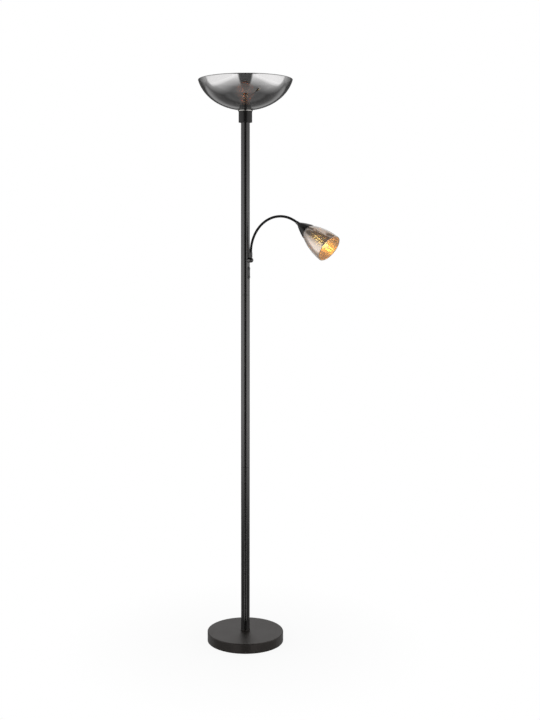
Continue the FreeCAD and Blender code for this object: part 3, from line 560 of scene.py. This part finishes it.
# The room as glossy surfaces see it, set by a ray's direction. Its rise goes from -1 to 1. Ahead is
# how far its level part points to the camera's side: 1 to the camera, -1 to the backdrop. Each row
# below is (from, to, value at from, value at to) of one of the two.
ROOM = {
    "backdrop_ahead": (-0.86, -0.95, 0.0, 0.9), "backdrop_rise": (0.10, 0.24, 0.08, 1),
    "boxes_front": (0.91, 0.83, 0, 1), "boxes_back": (-0.30, -0.42, 1, 0),
    "floor_rise": (-0.48, -0.92, 1.95, 0.26), "floor_ahead": (0.30, -0.25, 1.0, 0.72),
    "camera_gap": (0.935, 0.962, 0.0, 0.985), "camera_gap_rise": (-0.80, -0.96, 1.0, 0.2),
    "flank_ahead": (-0.66, -0.12, 0.12, 1.0), "flank_rise": (-0.76, -0.98, 0.0, 1.0),
    "far_ahead": (-0.50, -0.75, 0, 1), "far_rise": (-0.66, -0.40, 0, 0.45),
    "ground_edge": (-0.22, -0.32, 0, 1),
    "side_start": (-0.33, -0.46, 0, 1), "side_end": (-0.46, -0.85, 0.7, 0.05),
    "side_rise": (-0.40, -0.26, 0, 1),
}
BOX_HIDES = (-0.3, 0.34, 0.0, 0.90)         # height where a ray meets a box, and how much it hides
EYE_HEIGHT, LEAST_FACING, LEAST_LEVEL, FILL = 1.79, 0.05, 0.0001, 0.015

world = bpy.data.worlds.new("studio")
bpy.context.scene.world = world
world.use_nodes = True
n = Nodes(world.node_tree)
ray = n.put("ShaderNodeLightPath")
direction = n.put("ShaderNodeTexCoord").outputs["Generated"]
rise = n.parts(direction)[2]
level_part = n.math("SQRT", n.math(
    "MAXIMUM", n.math("SUBTRACT", 1.0, n.math("MULTIPLY", rise, rise)), LEAST_LEVEL))
ahead = n.math("DIVIDE", n.dot(direction, AWAY), level_part)


def seen(value, row):
    return n.spread(value, *ROOM[row])


def both(a, b):
    return n.math("MULTIPLY", a, b)


def without(amount):
    return n.math("SUBTRACT", 1.0, amount)


backdrop = both(seen(ahead, "backdrop_ahead"), seen(rise, "backdrop_rise"))
shaded = both(seen(ahead, "boxes_front"), seen(ahead, "boxes_back"))
open_floor = both(seen(rise, "floor_rise"), seen(ahead, "floor_ahead"))
facing = n.math("MAXIMUM", *[n.dot(direction, off_view(a)) for a in (-BOX_ANGLE, BOX_ANGLE)])
climb = n.math("DIVIDE", both(rise, BOX_RANGE), n.math("MAXIMUM", facing, LEAST_FACING))
covered = both(shaded, n.spread(n.math("ADD", EYE_HEIGHT, climb), *BOX_HIDES))
gap = both(seen(ahead, "camera_gap"), seen(rise, "camera_gap_rise"))
floor_level = both(both(open_floor, without(covered)), without(gap))
flank = n.math("MAXIMUM", seen(ahead, "flank_ahead"), seen(rise, "flank_rise"))
far = both(seen(ahead, "far_ahead"), seen(rise, "far_rise"))
floor_level = n.math("MAXIMUM", both(floor_level, flank), far)
ground = both(floor_level, seen(rise, "ground_edge"))
side = both(both(seen(ahead, "side_start"), seen(ahead, "side_end")), seen(rise, "side_rise"))
level = n.math("MAXIMUM", n.math("MAXIMUM", backdrop, ground), side)
level = n.math("ADD", level, FILL)
room = n.put("ShaderNodeBackground", {"Color": (1, 1, 1, 1), "Strength": level})
white = n.put("ShaderNodeBackground", {"Color": (1, 1, 1, 1), "Strength": 1.0})
mixed = n.put("ShaderNodeMixShader", {0: ray.outputs["Is Camera Ray"],
                                      1: room.outputs[0], 2: white.outputs[0]})
n.put("ShaderNodeOutputWorld", {"Surface": mixed.outputs[0]})

# ---- Floor, nearly self-lit so that it stays pale, and the camera ------------------------
SELF_LIT = (0.12, 0.6, 0.93, 1)             # from, to in metres off the pole, and the share at each
RINGS = (0.0, 0.1, 0.2, 0.4, 0.8, 1.6, 4.0, 12.0)
floor_made, n = material("floor_pale")
reach = n.put("ShaderNodeVectorMath", {0: n.place()}, operation="LENGTH").outputs["Value"]
paper = n.put("ShaderNodeBsdfDiffuse", {"Color": (0.86, 0.86, 0.86, 1),
                                        "Normal": n.bump(n.noise(900, 3), 0.05, 0.0003)})
lit = n.put("ShaderNodeEmission", {"Color": (1, 1, 1, 1), "Strength": 1.0})
paper_mix = n.put("ShaderNodeMixShader", {0: n.spread(reach, *SELF_LIT),
                                          1: paper.outputs[0], 2: lit.outputs[0]})
n.put("ShaderNodeOutputMaterial", {"Surface": paper_mix.outputs[0]})
floor = lathe("floor", [([(r / MM, 0.0) for r in RINGS], 0)], [floor_made],
              segments=96, closed=False)
floor.visible_glossy = floor.visible_diffuse = floor.visible_shadow = False

camera = bpy.data.cameras.new("camera")
camera.lens, camera.sensor_width = LENS, SENSOR
camera.shift_x, camera.shift_y = SHIFT
holder = bpy.data.objects.new("camera", camera)
bpy.context.scene.collection.objects.link(holder)
holder.location = AWAY * VIEW_RANGE + Vector((0, 0, VIEW_HEIGHT))
holder.rotation_euler = (math.pi / 2 - VIEW_PITCH, 0, VIEW_AZIMUTH)
bpy.context.scene.camera = holder
bpy.context.scene.view_settings.view_transform = "Standard"
